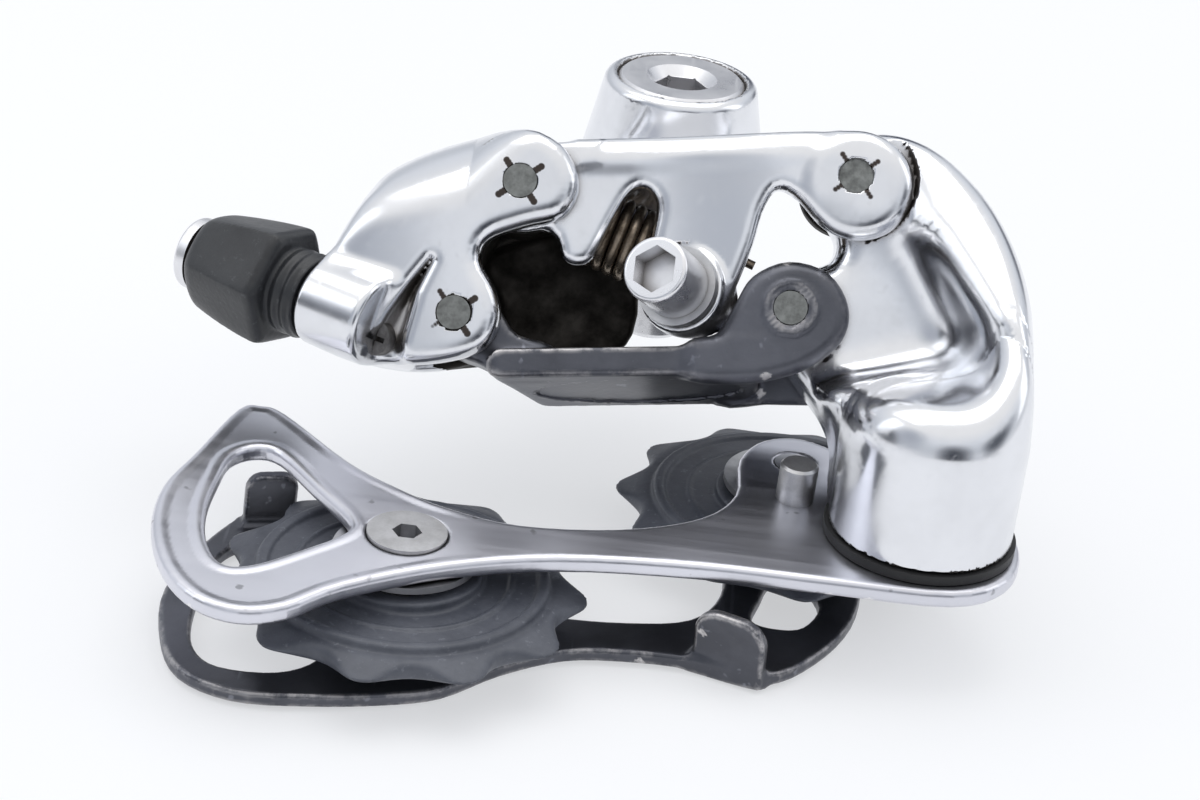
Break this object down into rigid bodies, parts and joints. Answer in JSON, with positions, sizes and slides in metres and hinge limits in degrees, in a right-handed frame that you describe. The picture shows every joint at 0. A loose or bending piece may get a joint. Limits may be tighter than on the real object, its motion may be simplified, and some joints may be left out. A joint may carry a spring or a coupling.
{
  "type": "rear derailleur",
  "caption": "Bicycle rear derailleur with slant parallelogram, sprung pulley cage, barrel adjuster and cable clamp.",
  "frame": {"origin": "On the mounting bolt's axis, where its shoulder meets the outside face of the frame's hanger.", "axes": "+Z along the mounting bolt, outboard, away from the wheel. +Y up the bicycle at rest. +X forward."},
  "size_m": [0.1045, 0.105, 0.0536],
  "materials": {
    "polished_alloy": "polished, worn and lightly scratched",
    "satin_alloy": "satin anodised, worn bright edges",
    "dark_alloy": "dark anodised, chipped to bare metal on edges",
    "bolt_steel": "polished",
    "plate_steel": "satin",
    "pin_steel": "matte",
    "knob_resin": "satin",
    "sleeve_rubber": "matte",
    "pulley_resin": "dusty matte",
    "seal_rubber": "matte",
    "spring_steel": "greasy",
    "screw_steel": "matte",
    "bearing_steel": "polished",
    "bush_bronze": "dull"
  },
  "bodies": {
    "hanger_side": {"mounting_bolt": "bolt_steel", "stop_plate": "plate_steel", "retaining_ring": "plate_steel"},
    "bracket": {"bracket_body": "polished_alloy", "b_bushing": "bush_bronze", "b_spring": "spring_steel", "b_seal_ring": "seal_rubber", "rear_outer_pin": "pin_steel", "rear_inner_pin": "pin_steel"},
    "tension_screw": {"b_tension_screw": "screw_steel"},
    "high_screw": {"high_limit_screw": "screw_steel"},
    "low_screw": {"low_limit_screw": "screw_steel"},
    "adjuster_spring": {"adjuster_spring_sleeve": "sleeve_rubber"},
    "adjuster": {"adjuster_barrel": "bolt_steel", "adjuster_knob": "knob_resin"},
    "outer_arm": {"outer_link": "polished_alloy", "front_outer_pin": "pin_steel", "cable_clamp_washer": "plate_steel", "return_spring": "spring_steel"},
    "cable_bolt": {"cable_fixing_bolt": "bolt_steel"},
    "inner_arm": {"inner_link": "dark_alloy", "front_inner_pin": "pin_steel"},
    "lower_knuckle": {"p_knuckle": "polished_alloy", "p_bushing": "bush_bronze", "p_spring": "spring_steel"},
    "cage": {"outer_plate": "satin_alloy", "inner_plate": "dark_alloy", "p_axle": "bolt_steel", "p_seal_ring": "seal_rubber", "stop_pin": "pin_steel", "guide_bolt": "bolt_steel", "tension_bolt": "bolt_steel", "guide_caps": "plate_steel", "tension_caps": "plate_steel", "guide_sleeve": "bolt_steel", "bearing_inner_race": "bearing_steel"},
    "floating_bush": {"guide_bush": "bush_bronze"},
    "guide_wheel": {"guide_pulley": "pulley_resin"},
    "tension_wheel": {"tension_pulley": "pulley_resin", "bearing_outer_race": "bearing_steel"},
    "ball_set": {"bearing_balls": "bearing_steel"}
  },
  "joints": [
    {"name": "b_pivot", "type": "hinge", "parent": "hanger_side", "child": "bracket", "pos_m": [0, 0, 0], "axis": [0, 0, 1], "range_deg": [-25, 0], "stiffness_Nm_per_rad": 1.2, "springref_deg": 45.84, "deforming": ["b_spring"]},
    {"name": "b_screw_turn", "type": "hinge", "parent": "bracket", "child": "tension_screw", "pos_m": [-0.00939, 0.00894, 0.0054], "axis": [0.5, 0.866, 0], "range_deg": [-720, 720]},
    {"name": "high_screw_turn", "type": "hinge", "parent": "bracket", "child": "high_screw", "pos_m": [-0.0296, -0.03287, 0.00027], "axis": [-0.4402, -0.8014, 0.4049], "range_deg": [-720, 720]},
    {"name": "low_screw_turn", "type": "hinge", "parent": "bracket", "child": "low_screw", "pos_m": [-0.0292, -0.02895, -0.00014], "axis": [-1, 0, 0], "range_deg": [-720, 720]},
    {"name": "adjuster_travel", "type": "slide", "parent": "bracket", "child": "adjuster_spring", "axis": [-0.8746, 0.4848, 0], "range_m": [0, 0.004]},
    {"name": "adjuster_turn", "type": "hinge", "parent": "adjuster_spring", "child": "adjuster", "pos_m": [-0.04905, -0.02915, 0.005], "axis": [-0.8746, 0.4848, 0], "range_deg": [0, 1800]},
    {"name": "shift", "type": "hinge", "parent": "bracket", "child": "outer_arm", "pos_m": [-0.0179, -0.0223, 0.01738], "axis": [0, -0.866, 0.5], "range_deg": [-54, 0], "stiffness_Nm_per_rad": 0.4, "springref_deg": 68.75, "deforming": ["return_spring"]},
    {"name": "cable_bolt_turn", "type": "hinge", "parent": "outer_arm", "child": "cable_bolt", "pos_m": [0.003, -0.03202, 0.01103], "axis": [-0.3991, -0.7154, 0.5735], "range_deg": [-360, 360]},
    {"name": "inner_link_pivot", "type": "hinge", "parent": "bracket", "child": "inner_arm", "pos_m": [-0.02377, -0.03054, 0.0031], "axis": [0, -0.866, 0.5], "range_deg": [-54, 0]},
    {"name": "knuckle_pivot", "type": "hinge", "parent": "outer_arm", "child": "lower_knuckle", "pos_m": [0.02153, -0.0196, 0.02206], "axis": [0, -0.866, 0.5], "range_deg": [0, 54]},
    {"name": "cage_pivot", "type": "hinge", "parent": "lower_knuckle", "child": "cage", "pos_m": [0.0337, -0.0483, -0.009], "axis": [0, 0, 1], "range_deg": [0, 110], "stiffness_Nm_per_rad": 0.12, "springref_deg": -91.67, "deforming": ["p_spring"]},
    {"name": "guide_float", "type": "slide", "parent": "cage", "child": "floating_bush", "axis": [0, 0, 1], "range_m": [-0.0006, 0.0006]},
    {"name": "guide_spin", "type": "hinge", "parent": "floating_bush", "child": "guide_wheel", "pos_m": [0.0192, -0.0337, -0.016], "axis": [0, 0, 1], "continuous": true},
    {"name": "tension_spin", "type": "hinge", "parent": "cage", "child": "tension_wheel", "pos_m": [-0.0252, -0.062, -0.016], "axis": [0, 0, 1], "continuous": true},
    {"name": "balls_orbit", "type": "hinge", "parent": "cage", "child": "ball_set", "pos_m": [-0.0252, -0.062, -0.016], "axis": [0, 0, 1], "continuous": true}
  ],
  "couplings": [
    {"joint": "inner_link_pivot", "follows": "shift", "ratio": 1},
    {"joint": "knuckle_pivot", "follows": "shift", "ratio": -1},
    {"joint": "balls_orbit", "follows": "tension_spin", "ratio": 0.6},
    {"joint": "adjuster_travel", "follows": "adjuster_turn", "m_per_rad": 0.00012732}
  ]
}
